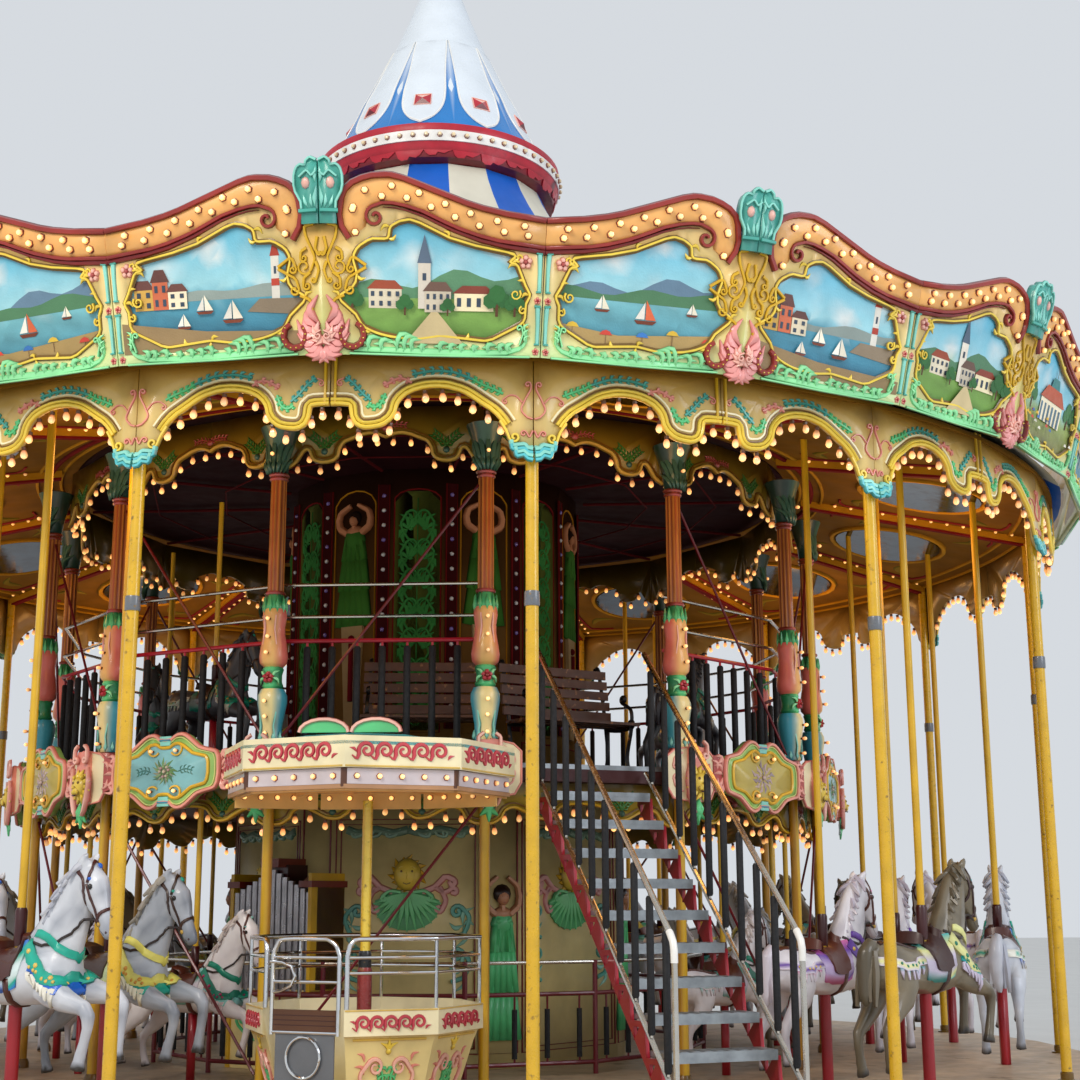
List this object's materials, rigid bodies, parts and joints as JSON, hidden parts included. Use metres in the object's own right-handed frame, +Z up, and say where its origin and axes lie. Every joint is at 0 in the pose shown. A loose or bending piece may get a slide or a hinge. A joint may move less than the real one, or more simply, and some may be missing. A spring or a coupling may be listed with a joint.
{
  "type": "double-deck fairground carousel",
  "caption": "Round two-deck fairground ride with galloping horses, a spinning tub, an open stair, carved painted boards, a striped tent roof and a spire.",
  "frame": {"origin": "on the ground at the turning axis", "axes": "+Z up along the turning axis; -Y is the front, at the outer pole between the tub and the stair; +X is to the right seen from the front"},
  "size_m": [12.2884, 12.1008, 11.5],
  "materials": {
    "dark_steel": "matt paint on steel sections",
    "deck_plank": "varnished boards, worn",
    "cream_panel": "semi-gloss paint with carved gold frames",
    "maroon_deck": "dark red paint",
    "carved_column": "painted glass-fibre mouldings",
    "yellow_pole": "gloss yellow paint",
    "frieze_paint": "painted glass-fibre mouldings",
    "ochre_paint": "painted glass-fibre panels",
    "board_paint": "painted glass-fibre mouldings",
    "ceiling_paint": "painted boards",
    "roof_canvas": "striped coated canvas on ribs",
    "crimson_paint": "gloss paint",
    "white_paint": "gloss paint",
    "black_iron": "black padded bars and red rail",
    "polished_steel": "polished tube",
    "red_steel": "dark red paint with bright treads",
    "cream_shell": "moulded glass-fibre shell",
    "chromed_tube": "bright chromed tube",
    "bench_wood": "varnished slats on dark scroll ironwork",
    "horse_enamel": "sprayed glass-fibre with coloured tack"
  },
  "bodies": {
    "ground_frame": {"base_frame": "dark_steel"},
    "carousel": {"platform": "deck_plank", "lower_drum": "cream_panel", "upper_drum": "cream_panel", "upper_deck": "maroon_deck", "inner_column_01": "carved_column", "inner_column_02": "carved_column", "inner_column_03": "carved_column", "inner_column_04": "carved_column", "inner_column_05": "carved_column", "inner_column_06": "carved_column", "inner_column_07": "carved_column", "inner_column_08": "carved_column", "inner_column_09": "carved_column", "inner_column_10": "carved_column", "inner_column_11": "carved_column", "inner_column_12": "carved_column", "inner_column_13": "carved_column", "inner_column_14": "carved_column", "outer_pole_01": "yellow_pole", "outer_pole_02": "yellow_pole", "outer_pole_03": "yellow_pole", "outer_pole_04": "yellow_pole", "outer_pole_05": "yellow_pole", "outer_pole_06": "yellow_pole", "outer_pole_07": "yellow_pole", "outer_pole_08": "yellow_pole", "outer_pole_09": "yellow_pole", "outer_pole_10": "yellow_pole", "outer_pole_11": "yellow_pole", "outer_pole_12": "yellow_pole", "outer_pole_13": "yellow_pole", "outer_pole_14": "yellow_pole", "deck_frieze": "frieze_paint", "deck_valance": "ochre_paint", "inner_valance": "ochre_paint", "outer_valance": "ochre_paint", "rounding_boards": "board_paint", "ceiling": "ceiling_paint", "tent_roof": "roof_canvas", "lantern": "crimson_paint", "spire": "white_paint", "deck_railing": "black_iron", "drum_railing": "polished_steel", "stair_flight": "red_steel", "stair_rail_left": "polished_steel", "stair_rail_right": "polished_steel", "tub_pole": "yellow_pole", "bow_canopy": "cream_shell", "deck_bench": "bench_wood", "horses_outer_row": "horse_enamel", "horses_middle_row": "horse_enamel", "horses_inner_row": "horse_enamel"},
    "tub": {"tub_shell": "cream_shell", "tub_rail": "chromed_tube"},
    "tub_gate": {"tub_gate": "chromed_tube"},
    "jumper_left_outer": {"jumper_left_outer": "horse_enamel"},
    "jumper_left_middle": {"jumper_left_middle": "horse_enamel"},
    "jumper_right_outer": {"jumper_right_outer": "horse_enamel"},
    "jumper_right_middle": {"jumper_right_middle": "horse_enamel"}
  },
  "joints": [
    {"name": "carousel_turn", "type": "hinge", "parent": "ground_frame", "child": "carousel", "pos_m": [0, 0, 0.06], "axis": [0, 0, 1], "continuous": true},
    {"name": "tub_spin", "type": "hinge", "parent": "carousel", "child": "tub", "pos_m": [-0.8389, -3.67548, 0.346], "axis": [0, 0, 1], "continuous": true},
    {"name": "gate_swing", "type": "hinge", "parent": "tub", "child": "tub_gate", "pos_m": [-1.46638, -4.10706, 0.4265], "axis": [0, 0, 1], "range_deg": [0, 95]},
    {"name": "left_outer_gallop", "type": "slide", "parent": "carousel", "child": "jumper_left_outer", "axis": [0, 0, 1], "range_m": [-0.075, 0.075]},
    {"name": "left_middle_gallop", "type": "slide", "parent": "carousel", "child": "jumper_left_middle", "axis": [0, 0, 1], "range_m": [-0.075, 0.075]},
    {"name": "right_outer_gallop", "type": "slide", "parent": "carousel", "child": "jumper_right_outer", "axis": [0, 0, 1], "range_m": [-0.075, 0.075]},
    {"name": "right_middle_gallop", "type": "slide", "parent": "carousel", "child": "jumper_right_middle", "axis": [0, 0, 1], "range_m": [-0.075, 0.075]}
  ]
}
